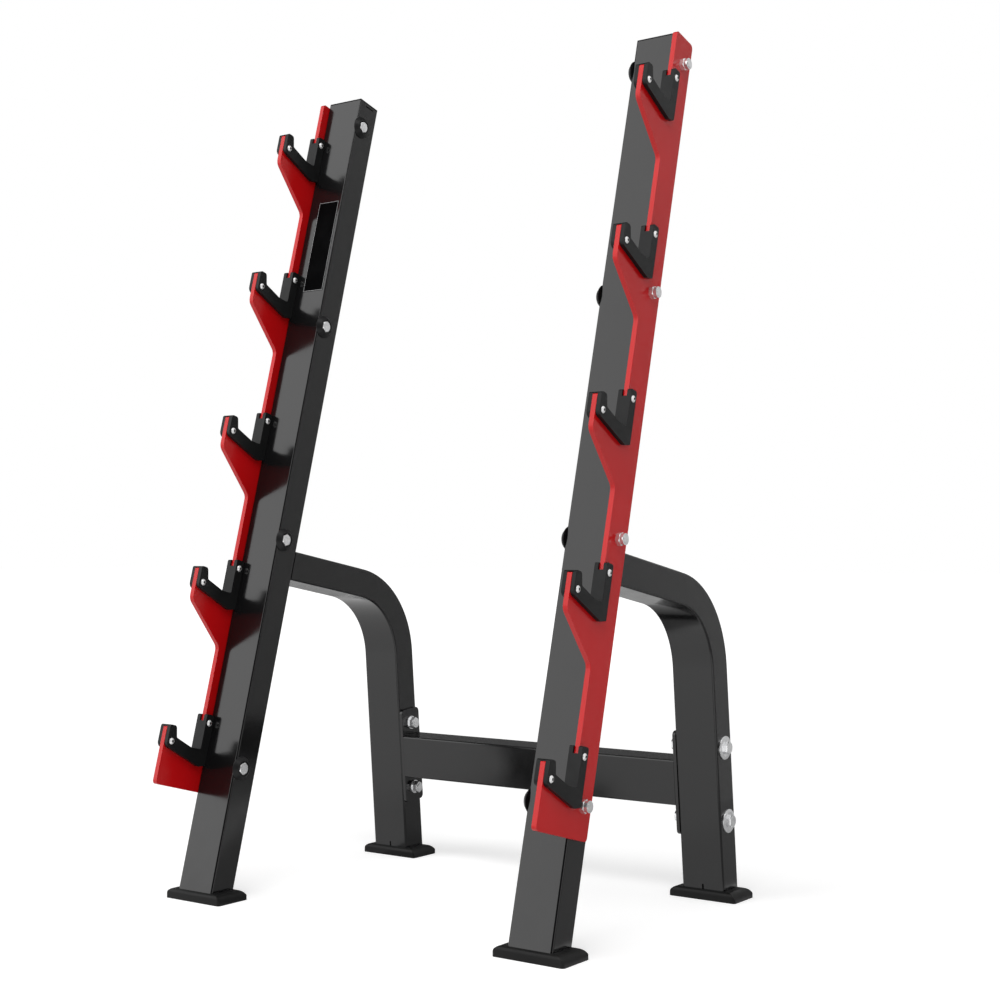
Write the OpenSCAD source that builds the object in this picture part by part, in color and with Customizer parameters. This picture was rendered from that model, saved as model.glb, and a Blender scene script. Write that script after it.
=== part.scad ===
// Free-standing storage rack for straight barbells.
// Two uprights lean back and carry a steel plate each, cut with five hooks. A black liner is screwed
// over every hook. A bent tube runs from each upright down to a rear foot, and a crossbar with bolted
// end flanges ties the two rear legs. X runs along the bars, Y to the rear, Z up.

/* [Tube] */
// Width of the rectangular tube, seen from the front
tube_w = 75; // [60:1:90]
// Depth of the rectangular tube
tube_d = 50; // [40:1:60]
// Wall of the tube
tube_wall = 2.5; // [2:0.5:3]
// Outer corner radius of the tube
tube_r = 3.5; // [3.5:0.5:8]

/* [Frame] */
// Clear distance between the two uprights
inner_gap = 576; // [450:1:900]
// Length of an upright along its front face, from the floor to the top of its cap
upright_len = 1431.5; // [1400:0.5:1600]
// Backward lean of the uprights, in degrees
lean = 15; // [10:0.5:18]
// Distance along an upright from the floor to the top edge of the rear arm
arm_at = 595; // [540:1:660]
// Fall of the rear arm towards the bend, in degrees
arm_fall = 10; // [5:0.5:15]
// Distance on the floor from the front of the uprights to the front of the rear legs
leg_reach = 507; // [480:1:560]
// Lean of the rear legs towards the uprights, in degrees
leg_splay = 5; // [2:0.5:8]
// Radius of the bend, at the middle of the tube
bend_r = 145; // [110:1:170]

/* [Feet] */
// Width of a foot
foot_w = 120; // [112:1:130]
// Depth of a foot, front to rear
foot_d = 67; // [62:1:80]
// Height of a foot
foot_h = 16.5; // [16:0.5:24]
// Radius of the top edges at the ends of a foot
foot_end_r = 15.5; // [8:0.5:16]
// Radius of the top edge at the front of a foot
foot_front_r = 7.5; // [4:0.5:9]
// Radius of the top edge at the rear of a foot
foot_rear_r = 15.5; // [8:0.5:16]
// Radius of a foot's upright corners
foot_corner_r = 5; // [3:0.5:8]
// Floor of a foot below the end of its tube
foot_floor = 5; // [3:0.5:8]
// Distance that a front foot stands out in front of its tube
front_foot_out = 2.2; // [0:0.1:4]
// Distance that a rear foot stands out in front of its tube
rear_foot_out = 7.6; // [4:0.1:9]

/* [Caps] */
// Thickness of the cap's rim on top of an upright
cap_rim = 3; // [2:0.5:6]
// Depth of the cap's plug inside the tube
cap_plug = 14; // [8:1:30]

/* [Hook plates] */
// Thickness of the hook plates
plate_t = 8; // [6:0.5:10]
// Distance that a plate's spine stands out in front of the tube
spine_out = 13.8; // [12:0.1:16]
// Width of a plate's spine
spine_w = 51; // [46:0.5:56]
// Height of a plate's lower edge, along the upright
plate_low = 172; // [168:1:185]
// Distance from the top of an upright down to the top of its plate
plate_drop = 7; // [4:0.5:12]
// Distance from the top of an upright down to the tip of its top hook
hook_drop = 109.2; // [95:0.1:125]
// Reach of a hook's nose in front of the tube
nose_out = 94.7; // [90:0.1:104]
// Thickness of a hook's nose at its tip
nose_t = 11.2; // [9:0.1:14]
// Height of the lowest nose's tip, along the upright
nose_tip = 265.3; // [262:0.1:270]
// Drop from a nose's tip to the floor of its cradle
cradle_drop = 28.5; // [26:0.5:32]
// Rise of a cradle's floor from its flat to the foot of the nose
cradle_rise = 10; // [6:0.5:14]
// Length of the flat at the rear of a cradle, in the plate
cradle_flat = 25; // [20:0.5:30]
// Drop from a nose's tip to the lower corner of its front edge
nose_front = 53.5; // [50:0.5:60]
// Drop from a nose's tip to where the gusset under it meets the spine
gusset_drop = 116; // [110:1:130]
// Radius of a plate's outer corners
plate_r = 6; // [3:0.5:8]

/* [Liners] */
// Thickness of a liner over the edge of the plate
liner_web = 3.5; // [3:0.5:5]
// Thickness of a liner's two cheeks
cheek_t = 7; // [5:0.5:8]
// Distance that the cheeks stay behind the plate's front edge
cheek_back = 0.4; // [0.2:0.1:2]
// Height of a cheek's rear top corner above the nose's tip
cheek_top = 34; // [30:0.5:38]
// Depth of the slot between the cheeks, where the spine shows above the web
slot_drop = 11; // [8:0.5:14]
// Height of a cheek below the floor of the cradle
cheek_deep = 20; // [17:0.5:22]
// Clearance between a liner and what it sits on
fit = 0.3; // [0.2:0.05:0.4]

/* [Fastenings] */
// Diameter of the frame bolts
bolt_d = 12; // [10:0.5:13]
// Distance across the flats of the frame bolts' heads and nuts
bolt_af = 18; // [17:0.5:20]
// Height of the frame bolts' heads
bolt_head = 6.8; // [6:0.1:9]
// Diameter of the holes for the frame bolts, over that of the bolt
bolt_play = 1; // [0.6:0.1:1.5]
// Distance from the top of an upright down to its top plate bolt
bolt_drop = 52.9; // [45:0.1:60]
// Height of the lowest plate bolt, along the upright
bolt_low = 219.4; // [212:0.1:222]
// Distance of the plate bolts behind the front of the tube
bolt_in = 13.6; // [13:0.1:25]
// Diameter of a plain washer
washer_d = 24; // [22:0.5:26]
// Thickness of a plain washer
washer_t = 2.5; // [1.5:0.1:3]
// Height of a lock nut on a plate bolt
lock_nut = 12.5; // [10:0.5:13]
// Height of the hexagon below a lock nut's collar
lock_hex = 7; // [5:0.5:9]
// Diameter of a lock nut's collar
collar_d = 17.4; // [16:0.5:18.5]
// Height of a plain nut on a crossbar bolt
plain_nut = 10; // [8:0.5:12]
// Diameter of the domed seat around a bolt's head
dome_d = 39; // [34:0.5:42]
// Height of a domed seat
dome_h = 7.8; // [6:0.1:9]
// Thickness of a domed seat at its rim
dome_rim = 1.3; // [1:0.1:3]
// Thickness of a domed seat below the bolt's head
dome_floor = 1; // [0.8:0.1:3]
// Clearance around a bolt's head in its seat, across the corners
dome_play = 0.6; // [0.3:0.1:1]
// Diameter of the wide washers under the crossbar bolts' heads
seat_d = 38; // [32:0.5:42]
// Thickness of a wide washer
seat_t = 3.6; // [3.2:0.1:5]
// Thickness of a wide washer at its rim
seat_rim = 2.8; // [1.5:0.1:3]
// Diameter of the liner screws
screw_d = 6; // [5:0.5:6.5]
// Diameter of a liner screw's head
screw_head_d = 10.5; // [9:0.1:11.5]
// Height of a liner screw's head
screw_head = 3; // [2:0.1:3.5]
// Diameter of the sleeve nut that a liner screw goes into
sleeve_d = 8; // [7.5:0.1:8.4]

/* [Crossbar] */
// Height of the crossbar's lower face, along the rear legs
bar_low = 147.8; // [120:1:220]
// Height of an end flange
flange_h = 170; // [165:1:190]
// Thickness of an end flange
flange_t = 6; // [5:0.5:10]
// Corner radius of an end flange
flange_r = 8; // [4:0.5:12]
// Distance between the two bolts of a flange
flange_bolts = 119; // [116:1:124]

/* [Hidden] */

black_paint = [0.10, 0.10, 0.11];
red_paint = [0.78, 0.10, 0.12];
black_plastic = [0.05, 0.05, 0.05];
zinc = [0.75, 0.76, 0.77];

hooks = 5;
plate_bolts = 4;
hook_pitch = (upright_len - hook_drop - nose_tip) / (hooks - 1);
bolt_pitch = (upright_len - bolt_drop - bolt_low) / (plate_bolts - 1);
$fn = 48;
arc_steps = 5;
foot_steps = 12;

// The part's origin lies on the floor, in the middle of its box
inner_x = inner_gap / 2;
tube_x = inner_x + tube_w / 2;
plate_x = inner_x + tube_w;
plate_out_x = plate_x + plate_t;
rear_foot_y = leg_reach - rear_foot_out;
nose_low_y = (plate_low + plate_r) * sin(lean) - (nose_out - plate_r) * cos(lean) - plate_r;
rear_y = rear_foot_y + foot_d;
middle_y = (nose_low_y + rear_y) / 2;

// A hook's outline, measured forward from the tube as a negative n and up from the lowest nose's tip
spine_n = -spine_out;
spine_rear_n = spine_w - spine_out;
nose_n = -nose_out;
nose_rear_n = nose_n + nose_t;
nose_root_n = nose_rear_n + 5;
cradle_s = nose_tip - cradle_drop;
flat_n = spine_n - cradle_flat;
web_n = spine_n - liner_web;
web_s = cradle_s + liner_web;
cheek_n = nose_n + cheek_back;
cheek_tip_s = nose_tip + liner_web;
cheek_rear_s = nose_tip + cheek_top;
nose_screw = [nose_n + 9.7, cradle_s + 6];
spine_screw = [-9, cheek_rear_s - 14];
screw_sides = [nose_screw, spine_screw];

// The rear leg's centre lines, in the plane of Y and Z
arm_dir = [cos(arm_fall), -sin(arm_fall)];
arm_down = [-sin(arm_fall), -cos(arm_fall)];
leg_dir = [sin(leg_splay), -cos(leg_splay)];
arm_start = [arm_at * sin(lean) + tube_d * cos(lean), arm_at * cos(lean) - tube_d * sin(lean)]
            + arm_down * tube_d / 2;
leg_foot = [leg_reach + tube_d / 2 / cos(leg_splay), 0];
turn = 90 - arm_fall - leg_splay;
bend_tangent = bend_r * tan(turn / 2);
arm_reach = cross(leg_foot - arm_start, leg_dir) / cross(arm_dir, leg_dir);
corner = arm_start + arm_dir * arm_reach;
bend_in = (leg_dir - arm_dir) / norm(leg_dir - arm_dir);
bend_centre = corner + bend_in * bend_r / cos(turn / 2);
leg_len = norm(leg_foot - corner) - bend_tangent;
arm_len = arm_reach - bend_tangent;
arm_lap = 0.3;
arm_slim = 0.999;

bar_middle = bar_low + tube_w / 2;
flange_x = inner_x - flange_t;

// Points along the round corner b of a path that comes from a and goes on to c; b holds the radius
function corner_points(a, b, c, steps) =
    let (p = [b[0], b[1]], u = [a[0], a[1]] - p, v = [c[0], c[1]] - p,
         u1 = u / norm(u), v1 = v / norm(v), half = acos(u1 * v1) / 2,
         back = b[2] / tan(half), m = p + (u1 + v1) / norm(u1 + v1) * b[2] / sin(half),
         s = p + u1 * back - m, a0 = atan2(s[1], s[0]),
         side = cross(u1, v1) > 0 ? -1 : 1, sweep = side * (180 - 2 * half))
    b[2] == 0 ? [p] : [for (i = [0:steps]) m + b[2] * [cos(a0 + sweep * i / steps),
                                                      sin(a0 + sweep * i / steps)]];

// A closed outline with each corner rounded to the radius that its point holds
function rounded(path, steps = arc_steps) =
    let (k = len(path))
    [for (i = [0:k - 1])
        each corner_points(path[(i + k - 1) % k], path[i], path[(i + 1) % k], steps)];

// One hook of the plate, from the spine above it down to the spine below it
function hook_path(up, last) =
    concat([[spine_n, up + cradle_s, 4],
            [flat_n, up + cradle_s, 6],
            [nose_root_n, up + cradle_s + cradle_rise, 4],
            [nose_rear_n, up + nose_tip, 4],
            [nose_n, up + nose_tip, 2]],
           last ? [[nose_n, plate_low, plate_r]]
                : [[nose_n, up + nose_tip - nose_front, 16],
                   [spine_n, up + nose_tip - gusset_drop, 14]]);

function plate_path() =
    concat([[spine_rear_n, plate_low, plate_r],
            [spine_rear_n, upright_len - plate_drop, plate_r + 1],
            [spine_n, upright_len - plate_drop, 4]],
           [for (i = [hooks - 1:-1:0]) each hook_path(i * hook_pitch, i == 0)]);

// The cheeks of a liner, over the lowest hook
function cheek_path() =
    [[-fit, cheek_rear_s, 4],
     [web_n, cheek_rear_s, 3],
     [web_n, web_s, 3],
     [flat_n, web_s, 5],
     [nose_root_n + liner_web, web_s + cradle_rise, 3],
     [nose_rear_n + liner_web, cheek_tip_s, 5],
     [cheek_n, cheek_tip_s, 4],
     [cheek_n, web_s + cradle_rise - cheek_deep + 3, 9],
     [-15, web_s - cheek_deep - 8, 6],
     [-fit, web_s - cheek_deep - 4, 2]];

// The room that a liner leaves for the plate, with the open slot above its web
function slot_path() =
    [[tube_d, cheek_rear_s + 20, 0],
     [web_n - 5, cheek_rear_s + 20, 0],
     [web_n - 5, cheek_rear_s - slot_drop, 0],
     [spine_n - fit, cheek_rear_s - slot_drop, 0],
     [spine_n - fit, cradle_s + fit, 3.5],
     [flat_n, cradle_s + fit, 5.5],
     [nose_root_n + fit, cradle_s + cradle_rise + fit, 4],
     [nose_rear_n + fit, nose_tip + fit, 4],
     [nose_n - 10, nose_tip + fit, 0],
     [nose_n - 10, plate_low, 0],
     [tube_d, plate_low, 0]];

// Stands its children in an upright's own frame: Y runs back from its front face, Z along it
module in_upright() {
    translate([0, -middle_y, 0]) rotate([-lean, 0, 0]) children();
}

// Stands its children in a rear leg's own frame: Y runs back from its front face, Z up along it
module in_leg() {
    translate([0, leg_reach - middle_y, 0]) rotate([leg_splay, 0, 0]) children();
}

module on_side(side) {
    if (side < 0) mirror([1, 0, 0]) children(); else children();
}

// Extrudes an outline in the plane of Y and Z along X, from x0 over the length t
module along_x(x0, t) {
    translate([x0, 0, 0]) rotate([90, 0, 90]) linear_extrude(t) children();
}

// A round bar, bore or ring along X, from x0 over the length t, at the place yz
module round_x(x0, t, d, yz) {
    translate([x0, yz[0], yz[1]]) rotate([0, 90, 0]) cylinder(h = t, d = d);
}

// A hexagon along X, from x0 over the length t, with its corners chamfered at the far end
module hex_x(x0, t, af, yz) {
    face = 0.95 * af;
    translate([x0, yz[0], yz[1]]) rotate([0, 90, 0]) intersection() {
        cylinder(h = t, d = af / cos(30), $fn = 6);
        cylinder(h = t, d1 = face + 2 * t / tan(30), d2 = face);
    }
}

// A rectangle with round corners, centred
module round_rect(w, d, r) {
    square([w - 2 * r, d], center = true);
    square([w, d - 2 * r], center = true);
    for (x = [-1, 1], y = [-1, 1]) translate([x * (w / 2 - r), y * (d / 2 - r)]) circle(r);
}

module tube_outer() {
    round_rect(tube_w, tube_d, tube_r);
}

module tube_bore() {
    round_rect(tube_w - 2 * tube_wall, tube_d - 2 * tube_wall, tube_r - tube_wall);
}

module below(z) {
    translate([-upright_len, -upright_len, z - upright_len])
        cube([2 * upright_len, 2 * upright_len, upright_len]);
}

// Upright

module upright(side) {
    top = upright_len - cap_rim;
    color(black_paint) on_side(side) difference() {
        in_upright() difference() {
            translate([tube_x, tube_d / 2, -tube_d]) linear_extrude(top + tube_d) difference() {
                tube_outer();
                tube_bore();
            }
            for (i = [0:plate_bolts - 1])
                round_x(inner_x - 1, tube_w + 2, bolt_d + bolt_play, [bolt_in, bolt_low + i * bolt_pitch]);
            // The short slit on the inner side, just below the cap
            translate([inner_x - 1, tube_d / 2 - 9, top - 6]) cube([tube_wall + 2, 20, 2]);
        }
        below(foot_floor);
    }
}

module top_cap(side) {
    seat = upright_len - cap_rim;
    plug_w = tube_w - 2 * tube_wall - 2 * fit;
    plug_d = tube_d - 2 * tube_wall - 2 * fit;
    color(black_plastic) on_side(side) in_upright() translate([tube_x, tube_d / 2, seat]) {
        intersection() {
            linear_extrude(cap_rim) tube_outer();
            translate([0, tube_d / 2, 0]) rotate([90, 0, 0]) linear_extrude(tube_d)
                translate([0, cap_rim / 2 - 4]) round_rect(tube_w, cap_rim + 8, 1.5);
            translate([-tube_w / 2, 0, 0]) rotate([90, 0, 90]) linear_extrude(tube_w)
                translate([0, cap_rim / 2 - 4]) round_rect(tube_d, cap_rim + 8, 1.5);
        }
        difference() {
            translate([0, 0, -cap_plug]) linear_extrude(cap_plug) round_rect(plug_w, plug_d, 1.5);
            translate([0, 0, -cap_plug - 1]) linear_extrude(cap_plug - 1)
                round_rect(plug_w - 5, plug_d - 5, 1);
        }
    }
}

// Hook plate and its liners

module hook_plate(side) {
    color(red_paint) on_side(side) in_upright() difference() {
        along_x(plate_x, plate_t) polygon(rounded(plate_path()));
        for (i = [0:plate_bolts - 1])
            round_x(plate_x - 1, plate_t + 2, bolt_d + bolt_play, [bolt_in, bolt_low + i * bolt_pitch]);
        for (i = [0:hooks - 1], at = screw_sides)
            round_x(plate_x - 1, plate_t + 2, sleeve_d + 2 * fit, at + [0, i * hook_pitch]);
    }
}

module liner(side, number) {
    color(black_plastic) on_side(side) in_upright()
        translate([0, 0, (hooks - number) * hook_pitch]) difference() {
            along_x(plate_x - cheek_t, plate_t + 2 * cheek_t) polygon(rounded(cheek_path()));
            along_x(plate_x - fit, plate_t + 2 * fit) polygon(rounded(slot_path()));
            for (at = screw_sides)
                round_x(plate_x - cheek_t - 1, plate_t + 2 * cheek_t + 2, sleeve_d + 2 * fit, at);
        }
}

// A sleeve nut's head lies on the inner cheek, and its sleeve ends in the outer one
module liner_nuts(side) {
    head_x = plate_x - cheek_t - screw_head;
    color(zinc) on_side(side) in_upright() for (i = [0:hooks - 1], at = screw_sides)
        translate([0, 0, i * hook_pitch]) difference() {
            union() {
                translate([head_x, at[0], at[1]]) rotate([0, 90, 0]) button_head();
                round_x(head_x + screw_head, 2 * cheek_t + plate_t - 1, sleeve_d, at);
            }
            round_x(head_x + screw_head, 2 * cheek_t + plate_t, screw_d + fit, at);
            hex_recess(head_x, at);
        }
}

module liner_screws(side) {
    end_x = plate_out_x + cheek_t;
    shank = cheek_t + plate_t;
    color(zinc) on_side(side) in_upright() for (i = [0:hooks - 1], at = screw_sides)
        translate([0, 0, i * hook_pitch]) difference() {
            union() {
                translate([end_x + screw_head, at[0], at[1]]) rotate([0, -90, 0]) button_head();
                round_x(end_x - shank, shank, screw_d, at);
            }
            hex_recess(end_x + screw_head - 2, at);
        }
}

// A low domed head, its top at the origin and its seat at screw_head
module button_head() {
    rotate_extrude() intersection() {
        square([screw_head_d / 2, screw_head]);
        translate([0, screw_head_d * 0.62]) circle(screw_head_d * 0.62);
    }
}

module hex_recess(x0, at) {
    translate([x0, at[0], at[1]]) rotate([0, 90, 0])
        translate([0, 0, -0.5]) cylinder(h = 2.5, d = 4 / cos(30), $fn = 6);
}

// Plate bolts, through the tube and the plate, with the head on the inner side

module plate_bolts(side) {
    head_x = inner_x - dome_floor - bolt_head;
    end_x = plate_out_x + lock_nut + 0.5;
    color(zinc) on_side(side) in_upright() for (i = [0:plate_bolts - 1])
        let (at = [bolt_in, bolt_low + i * bolt_pitch]) {
            mirrored_hex(head_x, bolt_head, at);
            round_x(head_x + bolt_head, end_x - head_x - bolt_head, bolt_d, at);
        }
}

// A bolt head with its chamfer on the side away from its shank
module mirrored_hex(x0, t, at) {
    translate([2 * x0 + t, 0, 0]) mirror([1, 0, 0]) hex_x(x0, t, bolt_af, at);
}

// A domed seat with a round pocket for a bolt's head, standing on the plane of X and Y
module dome_seat() {
    r = dome_d / 2;
    hole = (bolt_d + bolt_play) / 2;
    pocket = bolt_af / cos(30) / 2 + dome_play;
    rotate_extrude() polygon(rounded([[hole, 0, 0],
                                      [r, 0, 0],
                                      [r, dome_rim, 1],
                                      [pocket + 2, dome_h, 3],
                                      [pocket, dome_h, 0.4],
                                      [pocket, dome_floor, 0],
                                      [hole, dome_floor, 0]]));
}

module dome_seats(side) {
    color(black_plastic) on_side(side) in_upright() for (i = [0:plate_bolts - 1])
        translate([inner_x, bolt_in, bolt_low + i * bolt_pitch]) rotate([0, -90, 0]) dome_seat();
}

// Lock nuts: a hexagon with a round collar on its outer end
module plate_nuts(side) {
    color(zinc) on_side(side) in_upright() for (i = [0:plate_bolts - 1])
        let (at = [bolt_in, bolt_low + i * bolt_pitch]) difference() {
            union() {
                hex_x(plate_out_x, lock_hex, bolt_af, at);
                round_x(plate_out_x + lock_hex, lock_nut - lock_hex, collar_d, at);
            }
            round_x(plate_out_x - 1, lock_nut + 2, bolt_d + fit, at);
        }
}

// Rear legs

// The bent tube in the frame of its bend; grow lengthens its straight ends, for the bore
module leg_solid(grow) {
    translate([tube_x, bend_centre[0] - middle_y, bend_centre[1]])
        rotate([90, 0, 90]) rotate([0, 0, leg_splay]) {
            translate([bend_r, 0, 0]) rotate([90, 0, 0]) linear_extrude(leg_len + grow)
                rotate(90) children();
            rotate_extrude(angle = turn) translate([bend_r, 0]) rotate(90) children();
            // The arm is a hair slimmer than the bend, and starts just inside it
            rotate([0, 0, turn]) translate([bend_r, -arm_lap, 0]) rotate([-90, 0, 0])
                linear_extrude(arm_len + arm_lap + grow) rotate(90) scale(arm_slim) children();
        }
}

module rear_leg(side) {
    color(black_paint) on_side(side) difference() {
        leg_solid(tube_d) tube_outer();
        leg_solid(2 * tube_d) tube_bore();
        below(foot_floor);
        // The arm ends on the upright's rear face
        in_upright() translate([0, -leg_reach, 0]) cube([2 * plate_x, tube_d + leg_reach, 2 * arm_at]);
        for (z = [-1, 1]) in_leg()
            round_x(inner_x - 1, tube_w + 2, bolt_d + bolt_play,
                    [tube_d / 2, bar_middle + z * flange_bolts / 2]);
        // The small slit on the front, just above the foot
        in_leg() translate([tube_x - 1.5, -1, foot_h]) cube([3, tube_wall + 2, 8]);
    }
}

// Crossbar between the rear legs

module crossbar() {
    color(black_paint) in_leg() translate([-flange_x, tube_d / 2, bar_middle]) rotate([90, 0, 90])
        linear_extrude(2 * flange_x) rotate(90) difference() {
            tube_outer();
            tube_bore();
        }
}

module crossbar_flange(side) {
    color(black_paint) on_side(side) in_leg() difference() {
        along_x(flange_x, flange_t) translate([tube_d / 2, bar_middle])
            round_rect(tube_d, flange_h, flange_r);
        for (z = [-1, 1])
            round_x(flange_x - 1, flange_t + 2, bolt_d + bolt_play,
                    [tube_d / 2, bar_middle + z * flange_bolts / 2]);
    }
}

module at_flange_bolts(side) {
    on_side(side) in_leg() for (z = [-1, 1])
        translate([0, tube_d / 2, bar_middle + z * flange_bolts / 2]) children();
}

module crossbar_bolts(side) {
    head_x = plate_x + seat_t;
    end_x = flange_x - washer_t - plain_nut - 1;
    color(zinc) at_flange_bolts(side) {
        hex_x(head_x, bolt_head, bolt_af, [0, 0]);
        round_x(end_x, head_x - end_x, bolt_d, [0, 0]);
    }
}

// Wide washers that are a little thinner towards their rim
module crossbar_seats(side) {
    r = seat_d / 2;
    hole = (bolt_d + bolt_play) / 2;
    color(zinc) at_flange_bolts(side) translate([plate_x, 0, 0]) rotate([0, 90, 0])
        rotate_extrude() polygon(rounded([[hole, 0, 0],
                                          [r, 0, 0],
                                          [r, seat_rim, 0.8],
                                          [r - 5, seat_t, 4],
                                          [hole, seat_t, 0]]));
}

module washer(x0, at) {
    difference() {
        round_x(x0, washer_t, washer_d, at);
        round_x(x0 - 1, washer_t + 2, bolt_d + bolt_play, at);
    }
}

module crossbar_washers(side) {
    color(zinc) at_flange_bolts(side) washer(flange_x - washer_t, [0, 0]);
}

module crossbar_nuts(side) {
    color(zinc) at_flange_bolts(side) difference() {
        mirrored_hex(flange_x - washer_t - plain_nut, plain_nut, [0, 0]);
        round_x(flange_x - washer_t - plain_nut - 1, plain_nut + 2, bolt_d + fit, [0, 0]);
    }
}

// Feet

// A flat-bottomed shoe with round top edges; y0 is its front edge on the floor
module foot_body(y0) {
    translate([tube_x, y0 + foot_d / 2, 0]) intersection() {
        linear_extrude(foot_h) round_rect(foot_w, foot_d, foot_corner_r);
        translate([0, foot_d / 2, 0]) rotate([90, 0, 0]) linear_extrude(foot_d)
            foot_profile(foot_w / 2, foot_end_r, foot_end_r);
        translate([-foot_w / 2, 0, 0]) rotate([90, 0, 90]) linear_extrude(foot_w)
            foot_profile(foot_d / 2, foot_front_r, foot_rear_r);
    }
}

// A strip as high as a foot, with its two upper corners rounded
module foot_profile(half, r1, r2) {
    polygon(rounded([[-half, 0, 0], [-half, foot_h, r1], [half, foot_h, r2], [half, 0, 0]], foot_steps));
}

module foot_pocket() {
    round_rect(tube_w + 2 * fit, tube_d + 2 * fit, tube_r + fit);
}

module front_foot(side) {
    color(black_plastic) on_side(side) difference() {
        translate([0, -front_foot_out - middle_y, 0]) foot_body(0);
        difference() {
            in_upright() translate([tube_x, tube_d / 2, -tube_d]) linear_extrude(3 * tube_d) foot_pocket();
            below(foot_floor);
        }
    }
}

module rear_foot(side) {
    color(black_plastic) on_side(side) difference() {
        translate([0, rear_foot_y - middle_y, 0]) foot_body(0);
        difference() {
            in_leg() translate([tube_x, tube_d / 2, -tube_d]) linear_extrude(3 * tube_d) foot_pocket();
            below(foot_floor);
        }
    }
}

upright(-1);  // left_upright
upright(1);  // right_upright
top_cap(-1);  // left_top_cap
top_cap(1);  // right_top_cap
hook_plate(-1);  // left_hook_plate
hook_plate(1);  // right_hook_plate
for (i = [1:hooks]) {
    liner(-1, i);
    liner(1, i);
}
liner_screws(-1);  // left_liner_screws
liner_screws(1);  // right_liner_screws
liner_nuts(-1);  // left_liner_nuts
liner_nuts(1);  // right_liner_nuts
plate_bolts(-1);  // left_plate_bolts
plate_bolts(1);  // right_plate_bolts
dome_seats(-1);  // left_dome_seats
dome_seats(1);  // right_dome_seats
plate_nuts(-1);  // left_plate_nuts
plate_nuts(1);  // right_plate_nuts
rear_leg(-1);  // left_rear_leg
rear_leg(1);  // right_rear_leg
crossbar();
crossbar_flange(-1);  // left_crossbar_flange
crossbar_flange(1);  // right_crossbar_flange
crossbar_bolts(-1);  // left_crossbar_bolts
crossbar_bolts(1);  // right_crossbar_bolts
crossbar_seats(-1);  // left_crossbar_seats
crossbar_seats(1);  // right_crossbar_seats
crossbar_washers(-1);  // left_crossbar_washers
crossbar_washers(1);  // right_crossbar_washers
crossbar_nuts(-1);  // left_crossbar_nuts
crossbar_nuts(1);  // right_crossbar_nuts
front_foot(-1);  // left_front_foot
front_foot(1);  // right_front_foot
rear_foot(-1);  // left_rear_foot
rear_foot(1);  // right_rear_foot
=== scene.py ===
"""Looks of the free-standing barbell storage rack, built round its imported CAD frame."""

from math import pi, radians

import bmesh
import bpy
from mathutils import Matrix, Vector


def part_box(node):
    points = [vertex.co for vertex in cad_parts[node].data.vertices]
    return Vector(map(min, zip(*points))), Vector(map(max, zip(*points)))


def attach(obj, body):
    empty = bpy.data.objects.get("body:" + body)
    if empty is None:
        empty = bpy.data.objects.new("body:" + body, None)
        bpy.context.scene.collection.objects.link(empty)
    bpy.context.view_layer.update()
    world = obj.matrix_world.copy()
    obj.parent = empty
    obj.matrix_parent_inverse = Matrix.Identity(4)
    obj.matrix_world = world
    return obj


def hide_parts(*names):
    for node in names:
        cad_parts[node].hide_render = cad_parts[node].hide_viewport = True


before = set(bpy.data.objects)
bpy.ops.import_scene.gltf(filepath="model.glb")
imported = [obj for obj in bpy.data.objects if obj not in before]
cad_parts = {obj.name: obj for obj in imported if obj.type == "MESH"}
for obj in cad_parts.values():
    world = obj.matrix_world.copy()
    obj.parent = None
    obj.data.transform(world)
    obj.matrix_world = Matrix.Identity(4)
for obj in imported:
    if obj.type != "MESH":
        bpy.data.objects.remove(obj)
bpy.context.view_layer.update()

# Camera
# The photograph was taken from the front right, a little below the middle of the rack, with the
# picture's centre shifted so that the uprights stay as they are seen from there.
EYE = Vector((1.61633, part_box("left_front_foot")[0].y - 1.89421, 0.57237))
EYE_TURN = radians(36.383)
EYE_RISE = radians(2.548)

camera = bpy.data.objects.new("camera", bpy.data.cameras.new("camera"))
bpy.context.scene.collection.objects.link(camera)
bpy.context.scene.camera = camera
camera.location = EYE
camera.rotation_euler = (pi / 2 + EYE_RISE, 0, EYE_TURN)
camera.data.sensor_width = 36
camera.data.lens = 59.33
camera.data.shift_x = 0.0348
camera.data.shift_y = -0.0278
camera.data.clip_start = 0.05
camera.data.clip_end = 60

# Uprights
# Two rectangular steel tubes with round corners lean back, sawn level where they stand in their feet.
# A short slit is cut in the inner side of each, just below its cap, and its walls carry a near-black
# painted shade. They have a smooth gloss black powder coat, with the faint peel that such a coat dries
# to.
TUBE_EDGE = 0.0004
COAT_BLACK = (0.0055, 0.0055, 0.0058, 1)
COAT_BLACK_THIN = (0.0045, 0.0045, 0.0047, 1)
# Painted shade: a near-black for the slit's walls, in place of the shade that falls inside the slit
SLIT_PAINTED_SHADE = (0.001, 0.001, 0.001, 1)
SLIT_PAINTED_SHADE_THIN = (0.002, 0.002, 0.002, 1)
# Waves to the metre in the coat's colour, in its gloss and in its peel
COAT_PATCHES = 9
COAT_CLOUDS = 35
COAT_PEEL = 260
PEEL_DEPTH = 0.00002
PEEL_STRENGTH = 0.08
# The middle of a noise's range, which is stretched over a whole range of colour or gloss
COLOUR_NOISE = (0.35, 0.65)
GLOSS_NOISE = (0.3, 0.7)
# Points nearer than this are one, and faces that meet within the first angle are one flat face.
# Past the second angle an edge is broken, and past the third it stays a crease.
SAME_POINT = 0.000002
FLAT_ANGLE = radians(0.5)
SHARP_ANGLE = radians(30)
CREASE_ANGLE = radians(48)
# How near the tube's top the slit lies, an area that its walls stay under, and how far to the side a
# face may look that still counts as one of them
SLIT_ZONE = 0.02
SLIT_WALL = 0.00006
SIDEWAYS = 0.5


def new_material(name):
    """A material with its shader, and the node that gives coordinates on the object."""
    material = bpy.data.materials.new(name)
    material.use_nodes = True
    tree = material.node_tree
    return material, tree, tree.nodes["Principled BSDF"], tree.nodes.new("ShaderNodeTexCoord")


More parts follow.
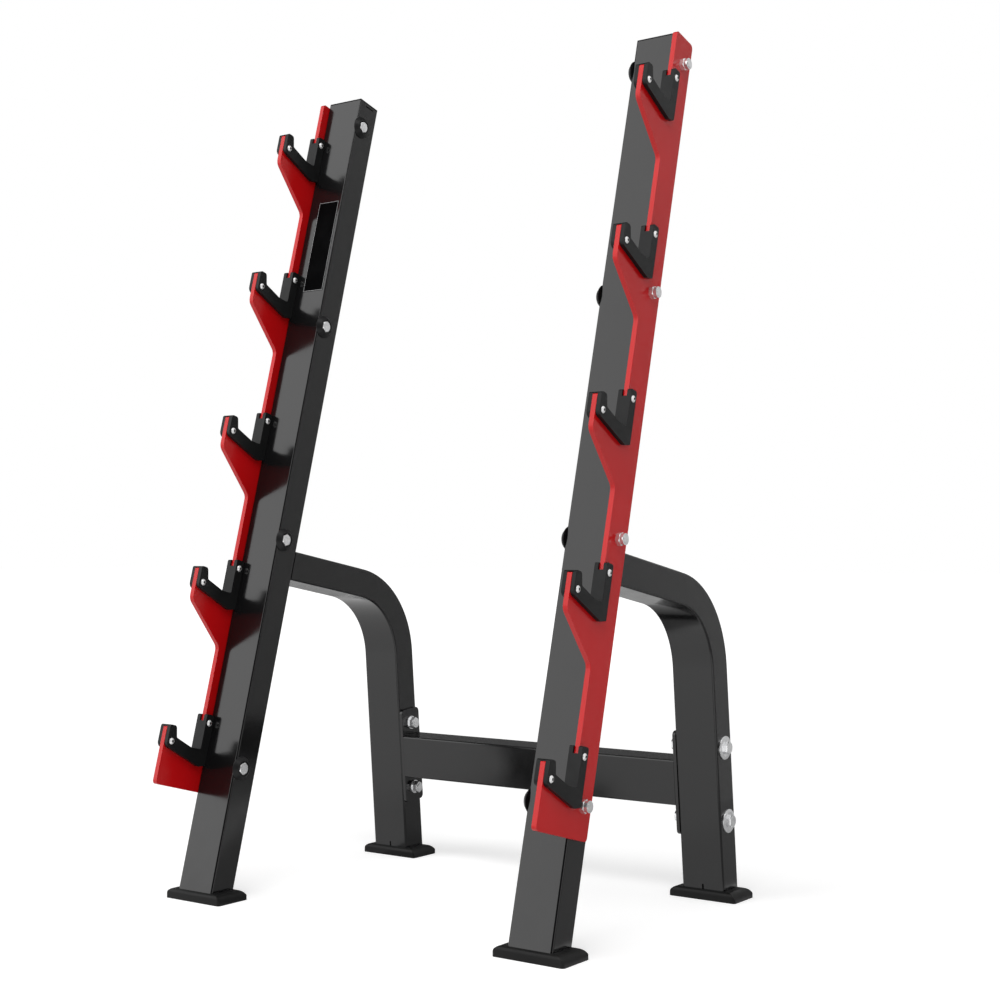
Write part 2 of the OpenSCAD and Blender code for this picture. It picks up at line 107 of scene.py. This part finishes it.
def mottle(tree, where, waves, detail=2):
    """Soft noise on the object's coordinates, with so many waves to the metre."""
    noise = tree.nodes.new("ShaderNodeTexNoise")
    noise.inputs["Scale"].default_value = waves
    noise.inputs["Detail"].default_value = detail
    tree.links.new(where.outputs["Object"], noise.inputs["Vector"])
    return noise.outputs["Fac"]


def spread(tree, value, limits, socket):
    """Sends a noise to a shader's number, from the lower to the upper limit."""
    ramp = tree.nodes.new("ShaderNodeMapRange")
    for name, number in zip(("From Min", "From Max", "To Min", "To Max"), GLOSS_NOISE + limits):
        ramp.inputs[name].default_value = number
    tree.links.new(value, ramp.inputs["Value"])
    tree.links.new(ramp.outputs["Result"], socket)


def tint(tree, value, first, second, socket):
    """Sends a noise to a shader's colour, from the first colour to the second."""
    ramp = tree.nodes.new("ShaderNodeValToRGB")
    for stop, position, colour in zip(ramp.color_ramp.elements, COLOUR_NOISE, (first, second)):
        stop.position = position
        stop.color = colour
    tree.links.new(value, ramp.inputs["Fac"])
    tree.links.new(ramp.outputs["Color"], socket)


def relief(tree, shader, value, depth, strength):
    """Raises a noise from the surface by its depth in metres."""
    bump = tree.nodes.new("ShaderNodeBump")
    bump.inputs["Strength"].default_value = strength
    bump.inputs["Distance"].default_value = depth
    tree.links.new(value, bump.inputs["Height"])
    tree.links.new(bump.outputs["Normal"], shader.inputs["Normal"])


def powder_coat(name, colour, thin, roughness, shine):
    """A smooth coat between a full and a thin shade, with a faint peel."""
    material, tree, shader, where = new_material(name)
    tint(tree, mottle(tree, where, COAT_PATCHES), thin, colour, shader.inputs["Base Color"])
    spread(tree, mottle(tree, where, COAT_CLOUDS), roughness, shader.inputs["Roughness"])
    relief(tree, shader, mottle(tree, where, COAT_PEEL), PEEL_DEPTH, PEEL_STRENGTH)
    shader.inputs["Specular IOR Level"].default_value = shine
    return material


def placed(shape, name, materials, nodes=()):
    """Makes an object of a finished shape, which stands for the CAD nodes named."""
    for face in shape.faces:
        face.smooth = True
    mesh = bpy.data.meshes.new(name)
    shape.to_mesh(mesh)
    shape.free()
    piece = bpy.data.objects.new(name, mesh)
    bpy.context.scene.collection.objects.link(piece)
    for material in materials:
        mesh.materials.append(material)
    even = piece.modifiers.new("even_normals", "WEIGHTED_NORMAL")
    even.keep_sharp = True
    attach(piece, "root")
    if nodes:
        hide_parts(*nodes)
    return piece


def bends(edge, angle):
    """Whether two faces meet at the edge by more than the angle."""
    return len(edge.link_faces) == 2 and edge.calc_face_angle(0) > angle


def softened(node, suffix, materials, edge, segments=2, first=None):
    """A copy of a CAD node, merged, with its sharp edges broken and its faces smooth."""
    shape = bmesh.new()
    shape.from_mesh(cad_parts[node].data)
    bmesh.ops.remove_doubles(shape, verts=shape.verts, dist=SAME_POINT)
    bmesh.ops.dissolve_limit(shape, angle_limit=FLAT_ANGLE, verts=shape.verts, edges=shape.edges)
    if first:
        first(shape)
    if edge:
        corners = [e for e in shape.edges if bends(e, SHARP_ANGLE)]
        bmesh.ops.bevel(shape, geom=corners, offset=edge, offset_type="OFFSET", segments=segments,
                        profile=0.5, affect="EDGES", clamp_overlap=True, material=-1)
    for e in shape.edges:
        e.smooth = not bends(e, CREASE_ANGLE)
    return placed(shape, f"{node}_{suffix}", materials, [node])


def paint_slit_shade(shape):
    """Gives the walls of the short slit near the tube's top the second material, a painted shade."""
    top = max(v.co.z for v in shape.verts)
    for f in shape.faces:
        if (f.calc_area() < SLIT_WALL and abs(f.normal.x) < SIDEWAYS
                and f.calc_center_median().z > top - SLIT_ZONE):
            f.material_index = 1


black_coat = powder_coat("gloss_black_powder_coat", COAT_BLACK, COAT_BLACK_THIN,
                         roughness=(0.13, 0.17), shine=0.48)
# The painted shade on the slit's walls
slit_painted_shade = powder_coat("painted_shade_in_slits", SLIT_PAINTED_SHADE, SLIT_PAINTED_SHADE_THIN,
                         roughness=(0.6, 0.7), shine=0.05)
for side in ("left", "right"):
    softened(f"{side}_upright", "coated", [black_coat, slit_painted_shade], TUBE_EDGE,
             first=paint_slit_shade)

# Top caps
# A moulded black plastic cap is pushed into the top of each upright. Its low rim covers the end of
# the tube.
CAP_EDGE = 0.0003
PLASTIC_BLACK = (0.008, 0.008, 0.0085, 1)
PLASTIC_WORN = (0.011, 0.011, 0.0115, 1)
# Waves to the metre in the plastic's colour, in its gloss and in its grain
PLASTIC_PATCHES = 14
PLASTIC_CLOUDS = 60
PLASTIC_GRAIN = 1500
GRAIN_STRENGTH = 0.35


def moulded_plastic(name, colour, worn, roughness, grain, shine):
    """A satin plastic with a fine grain of so many metres' depth."""
    material, tree, shader, where = new_material(name)
    tint(tree, mottle(tree, where, PLASTIC_PATCHES), colour, worn, shader.inputs["Base Color"])
    spread(tree, mottle(tree, where, PLASTIC_CLOUDS), roughness, shader.inputs["Roughness"])
    relief(tree, shader, mottle(tree, where, PLASTIC_GRAIN), grain, GRAIN_STRENGTH)
    shader.inputs["Specular IOR Level"].default_value = shine
    return material


cap_plastic = moulded_plastic("satin_black_cap_plastic", PLASTIC_BLACK, PLASTIC_WORN,
                              roughness=(0.32, 0.42), grain=0.00002, shine=0.06)
for side in ("left", "right"):
    softened(f"{side}_top_cap", "moulded", [cap_plastic], CAP_EDGE)

# Hook plates
# Each is cut by laser from one 8 mm steel plate and has a gloss red powder coat. The coat rounds its
# edges off a little, so that they catch the light.
PLATE_EDGE = 0.0007
COAT_RED = (0.57, 0.005, 0.007, 1)
COAT_RED_THIN = (0.52, 0.004, 0.005, 1)

red_coat = powder_coat("gloss_red_powder_coat", COAT_RED, COAT_RED_THIN,
                       roughness=(0.18, 0.22), shine=0.32)
for side in ("left", "right"):
    softened(f"{side}_hook_plate", "coated", [red_coat], PLATE_EDGE, segments=3)

# Hook liners
# A moulded black plastic saddle sits over each hook, so that a bar's knurling is spared. Its edges
# are rounded and its faces have a fine grain.
LINERS = 5
LINER_EDGE = 0.0009
LINER_BLACK = (0.009, 0.0092, 0.0095, 1)
LINER_WORN = (0.012, 0.0123, 0.0126, 1)

liner_plastic = moulded_plastic("black_liner_plastic", LINER_BLACK, LINER_WORN,
                                roughness=(0.28, 0.38), grain=0.00003, shine=0.16)
for side in ("left", "right"):
    for number in range(1, LINERS + 1):
        softened(f"{side}_liner_{number}", "moulded", [liner_plastic], LINER_EDGE,
                 segments=3)

# Fastenings
# The bolts, nuts, washers and liner screws are zinc plated steel. The seats round the heads of the
# plate bolts are moulded black plastic. The screws have a hexagon socket, with painted shade inside.
FASTENING_EDGE = 0.0003
SCREW_EDGE = 0.0002
ZINC = (0.90, 0.905, 0.91, 1)
ZINC_DULL = (0.76, 0.765, 0.775, 1)
SCREW_ZINC = (0.94, 0.94, 0.94, 1)
SCREW_ZINC_DULL = (0.84, 0.84, 0.84, 1)
# Painted shade: a dark grey zinc inside the screws' sockets, where shade falls
SOCKET_PAINTED_SHADE = (0.24, 0.24, 0.235, 1)
SOCKET_PAINTED_SHADE_DULL = (0.16, 0.16, 0.157, 1)
# Waves to the metre in the plating's colour, in its gloss and in its grain. The colour has finer
# detail than the coats' has.
ZINC_PATCHES = 160
ZINC_CLOUDS = 240
ZINC_GRAIN = 1800
ZINC_DETAIL = 4
ZINC_GRAIN_DEPTH = 0.00001
ZINC_GRAIN_STRENGTH = 0.3
# No point of a screw's socket is further than this from the screw's middle line
SOCKET_REACH = 0.00245


def plated_steel(name, bright, dull, roughness, metal):
    """Zinc plating between a bright and a dull shade."""
    material, tree, shader, where = new_material(name)
    patches = mottle(tree, where, ZINC_PATCHES, ZINC_DETAIL)
    tint(tree, patches, dull, bright, shader.inputs["Base Color"])
    spread(tree, mottle(tree, where, ZINC_CLOUDS), roughness, shader.inputs["Roughness"])
    relief(tree, shader, mottle(tree, where, ZINC_GRAIN), ZINC_GRAIN_DEPTH, ZINC_GRAIN_STRENGTH)
    shader.inputs["Metallic"].default_value = metal
    return material


def paint_socket_shade(shape):
    """Gives the hexagon socket of each screw the second material, a painted shade. The screws lie along
    X.
    """
    left = set(shape.faces)
    while left:
        screw, front = set(), {left.pop()}
        while front:
            screw |= front
            front = {g for f in front for e in f.edges for g in e.link_faces} - screw
        left -= screw
        points = [v.co for f in screw for v in f.verts]
        middle = (Vector(min(p[i] for p in points) for i in range(3))
                  + Vector(max(p[i] for p in points) for i in range(3))) / 2
        for f in screw:
            if all((v.co - middle).yz.length < SOCKET_REACH for v in f.verts):
                f.material_index = 1


zinc = plated_steel("bright_zinc_plate", ZINC, ZINC_DULL, roughness=(0.12, 0.20), metal=0.8)
screw_zinc = plated_steel("satin_zinc_on_screws", SCREW_ZINC, SCREW_ZINC_DULL,
                          roughness=(0.34, 0.42), metal=0.45)
# The painted shade inside the screws' sockets
socket_painted_shade = plated_steel("painted_shade_in_sockets", SOCKET_PAINTED_SHADE, SOCKET_PAINTED_SHADE_DULL,
                           roughness=(0.4, 0.55), metal=1.0)
seat_plastic = moulded_plastic("satin_black_seat_plastic", PLASTIC_BLACK, PLASTIC_WORN,
                               roughness=(0.32, 0.42), grain=0.00002, shine=0.2)
for side in ("left", "right"):
    for part in ("plate_bolts", "plate_nuts", "crossbar_bolts", "crossbar_seats", "crossbar_washers",
                 "crossbar_nuts"):
        softened(f"{side}_{part}", "plated", [zinc], FASTENING_EDGE)
    for part in ("liner_screws", "liner_nuts"):
        softened(f"{side}_{part}", "plated", [screw_zinc, socket_painted_shade], SCREW_EDGE,
                 first=paint_socket_shade)
    softened(f"{side}_dome_seats", "moulded", [seat_plastic], FASTENING_EDGE)

# Rear legs, crossbar and flanges
# The legs are bent from the same tube as the uprights and welded to them. The crossbar is sawn
# square and welded to a flange at each end, and bolts hold the flanges to the legs. All have the
# black coat. The flanges cover the crossbar's ends, so its edges stay as they are.
FLANGE_EDGE = 0.0006

for side in ("left", "right"):
    softened(f"{side}_rear_leg", "coated", [black_coat], TUBE_EDGE)
    softened(f"{side}_crossbar_flange", "coated", [black_coat], FLANGE_EDGE)
softened("crossbar", "coated", [black_coat], edge=0)

# Feet
# Moulded black plastic shoes, wider than the tubes, with round top edges. Each has a pocket that
# the end of its tube stands in.
FOOT_EDGE = 0.0006
FOOT_BLACK = (0.008, 0.008, 0.008, 1)
FOOT_WORN = (0.011, 0.011, 0.011, 1)

foot_plastic = moulded_plastic("black_foot_plastic", FOOT_BLACK, FOOT_WORN,
                               roughness=(0.30, 0.40), grain=0.00004, shine=0.14)
for side in ("left", "right"):
    for end in ("front", "rear"):
        softened(f"{side}_{end}_foot", "moulded", [foot_plastic], FOOT_EDGE)

# Plate on the left upright
# A thin bare plate of matt black film lies on the front of the left upright, with a thin silver
# line round it. Its place is given across the rack and up along the upright's front.
BADGE_LOW = Vector((-0.3400, 1.0576))
BADGE_HIGH = Vector((-0.2950, 1.2294))
BADGE_THICK = 0.0005
BADGE_LINE = 0.0010
BADGE_RIM = 0.0008
BADGE_EDGE = 0.0002
FILM_BLACK = (0.001, 0.001, 0.0012, 1)
FILM_WORN = (0.002, 0.002, 0.0022, 1)
SILVER = (0.38, 0.38, 0.385, 1)
SILVER_WORN = (0.30, 0.30, 0.305, 1)
# Waves to the metre in the film's colour and in its gloss
FILM_PATCHES = 40
FILM_CLOUDS = 120
# The upright's lean, and how far its front lies behind the foot's at the floor
LEAN = radians(15)
UPRIGHT_SET_BACK = 0.0022


def upright_place():
    """From a place on an upright's front face, back from it and along it, to the rack's frame."""
    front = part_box("left_front_foot")[0].y + UPRIGHT_SET_BACK
    return Matrix.Translation((0, front, 0)) @ Matrix.Rotation(-LEAN, 4, "X")


def printed_film(name, colour, worn, roughness, shine):
    """A thin film or print between two shades."""
    material, tree, shader, where = new_material(name)
    tint(tree, mottle(tree, where, FILM_PATCHES), worn, colour, shader.inputs["Base Color"])
    spread(tree, mottle(tree, where, FILM_CLOUDS), roughness, shader.inputs["Roughness"])
    shader.inputs["Specular IOR Level"].default_value = shine
    return material


film = printed_film("matt_black_film", FILM_BLACK, FILM_WORN, roughness=(0.5, 0.6), shine=0.01)
silver = printed_film("silver_print", SILVER, SILVER_WORN, roughness=(0.40, 0.50), shine=0.1)

badge = bmesh.new()
size = BADGE_HIGH - BADGE_LOW
middle = (BADGE_HIGH + BADGE_LOW) / 2
bmesh.ops.create_cube(badge, size=1, matrix=Matrix.Translation((middle.x, -BADGE_THICK / 2, middle.y))
                      @ Matrix.Diagonal((size.x, BADGE_THICK, size.y, 1)))
face = min(badge.faces, key=lambda f: f.calc_center_median().y)
bmesh.ops.inset_individual(badge, faces=[face], thickness=BADGE_RIM)
for f in bmesh.ops.inset_individual(badge, faces=[face], thickness=BADGE_LINE)["faces"]:
    f.material_index = 1
corners = [e for e in badge.edges if abs((e.verts[0].co - e.verts[1].co).y) > BADGE_THICK / 2]
bmesh.ops.bevel(badge, geom=corners, offset=BADGE_EDGE, offset_type="OFFSET", segments=2, profile=0.5,
                affect="EDGES", clamp_overlap=True, material=-1)
badge.transform(upright_place())
placed(badge, "bare_badge_plate", [film, silver])

# Floor, backdrop and light
# The rack stands on a plain white floor in a white room, with a large soft lamp at the front left and
# one above the front. Grey cards stand on three sides, lie on the floor and hang above. Only gloss
# shows them, and they keep the tubes' sides, tops and corners dark, as in the photograph.
FLOOR_REACH = 30
FLOOR_WHITE = 0.8
MATT_ROUGHNESS = 0.9
# How brightly the floor shows near the rack and far from it, and where near ends and far begins
NEAR_LIFT = 0.42
FAR_LIFT = 0.80
NEAR = 1.0
FAR = 6.0
ROOM_LIGHT = 0.45
STANDING_CARD_FOOT = 0.01
FLOOR_CARD_HEIGHT = 0.002
TOP_CARD_HEIGHT = 3.3


def matt(name, grey):
    """A matt grey without gloss."""
    material, tree, shader, where = new_material(name)
    shader.inputs["Base Color"].default_value = (grey, grey, grey, 1)
    shader.inputs["Roughness"].default_value = MATT_ROUGHNESS
    shader.inputs["Specular IOR Level"].default_value = 0.0
    return material, tree, shader, where


def staged(shape, name, material):
    """Makes an object of a finished shape that isn't part of the rack."""
    mesh = bpy.data.meshes.new(name)
    shape.to_mesh(mesh)
    shape.free()
    mesh.materials.append(material)
    sheet = bpy.data.objects.new(name, mesh)
    bpy.context.scene.collection.objects.link(sheet)
    return sheet


def seen_rays(tree):
    """One for the rays that show the background: from the camera, and on gloss or through glass."""
    path = tree.nodes.new("ShaderNodeLightPath")
    total = path.outputs["Is Camera Ray"]
    for ray in ("Is Glossy Ray", "Is Transmission Ray"):
        more = tree.nodes.new("ShaderNodeMath")
        more.operation = "MAXIMUM"
        tree.links.new(total, more.inputs[0])
        tree.links.new(path.outputs[ray], more.inputs[1])
        total = more.outputs["Value"]
    return total


floor_material, tree, shader, where = matt("white_floor", FLOOR_WHITE)
distance = tree.nodes.new("ShaderNodeVectorMath")
distance.operation = "LENGTH"
tree.links.new(where.outputs["Object"], distance.inputs[0])
lift = tree.nodes.new("ShaderNodeMapRange")
lift.interpolation_type = "SMOOTHSTEP"
for name, value in (("From Min", NEAR), ("From Max", FAR), ("To Min", NEAR_LIFT), ("To Max", FAR_LIFT)):
    lift.inputs[name].default_value = value
tree.links.new(distance.outputs["Value"], lift.inputs["Value"])
shown = tree.nodes.new("ShaderNodeMath")
shown.operation = "MULTIPLY"
tree.links.new(seen_rays(tree), shown.inputs[0])
tree.links.new(lift.outputs["Result"], shown.inputs[1])
shader.inputs["Emission Color"].default_value = (1, 1, 1, 1)
tree.links.new(shown.outputs["Value"], shader.inputs["Emission Strength"])

floor = bmesh.new()
bmesh.ops.create_grid(floor, x_segments=1, y_segments=1, size=FLOOR_REACH)
staged(floor, "floor", floor_material)

room = bpy.data.worlds.new("white_room")
bpy.context.scene.world = room
room.use_nodes = True
sky = room.node_tree.nodes["Background"]
sky.inputs["Color"].default_value = (1, 1, 1, 1)
level = room.node_tree.nodes.new("ShaderNodeMapRange")
level.inputs["To Min"].default_value = ROOM_LIGHT
level.inputs["To Max"].default_value = 1.0
room.node_tree.links.new(seen_rays(room.node_tree), level.inputs["Value"])
room.node_tree.links.new(level.outputs["Result"], sky.inputs["Strength"])


def card(name, grey, corners):
    """A flat card that only gloss shows, so that it casts no shadow and dims no light."""
    shape = bmesh.new()
    shape.faces.new([shape.verts.new(corner) for corner in corners])
    sheet = staged(shape, name, matt(name, grey)[0])
    sheet.visible_camera = False
    sheet.visible_shadow = False
    sheet.visible_diffuse = False


for name, grey, (x, y), (far_x, far_y), top in (
        ("right_rear_card", 0.60, (-0.16, 1.72), (2.06, 0.38), 2.1),
        ("rear_card", 0.16, (-3.2, 1.2), (-0.16, 1.76), 2.1),
        ("front_right_card", 0.02, (2.9, -1.7), (-0.75, -3.55), 7.0)):
    foot = STANDING_CARD_FOOT
    card(name, grey, [(x, y, foot), (far_x, far_y, foot), (far_x, far_y, top), (x, y, top)])
for name, grey, height, outline in (
        ("floor_card", 0.46, FLOOR_CARD_HEIGHT, (
            (-0.34, -0.24), (-0.14, -0.24), (0.35, 0.62), (0.41, 0.62), (0.41, -0.24), (3.2, -0.24),
            (3.2, 2.8), (-0.34, 2.8))),
        ("left_rear_floor_card", 0.80, FLOOR_CARD_HEIGHT, (
            (-2.6, 0.85), (-0.34, 0.85), (-0.34, 1.70), (-2.6, 1.25))),
        ("top_card", 0.25, TOP_CARD_HEIGHT, ((-4.0, -1.0), (0.6, -1.0), (0.6, 2.5), (-4.0, 2.5))),
        ("top_rear_card", 0.08, TOP_CARD_HEIGHT, ((-4.0, 2.5), (3.0, 2.5), (3.0, 8.0), (-4.0, 8.0)))):
    card(name, grey, [(x, y, height) for x, y in outline])


def soft_lamp(name, place, aim, width, height, watts):
    """A rectangular lamp that faces the place it is aimed at."""
    lamp = bpy.data.objects.new(name, bpy.data.lights.new(name, "AREA"))
    lamp.data.shape = "RECTANGLE"
    lamp.data.size = width
    lamp.data.size_y = height
    lamp.data.energy = watts
    lamp.location = place
    lamp.rotation_euler = (Vector(aim) - Vector(place)).to_track_quat("-Z", "Y").to_euler()
    bpy.context.scene.collection.objects.link(lamp)


soft_lamp("front_left_lamp", place=(-2.53, -2.71, 2.6), aim=(0, 0, 0.7), width=3.4, height=4.4, watts=60)
soft_lamp("top_front_lamp", place=(0.9, -2.2, 4.2), aim=(0, 0.1, 0.7), width=3.4, height=2.8, watts=112)

bpy.context.scene.view_settings.view_transform = "Standard"
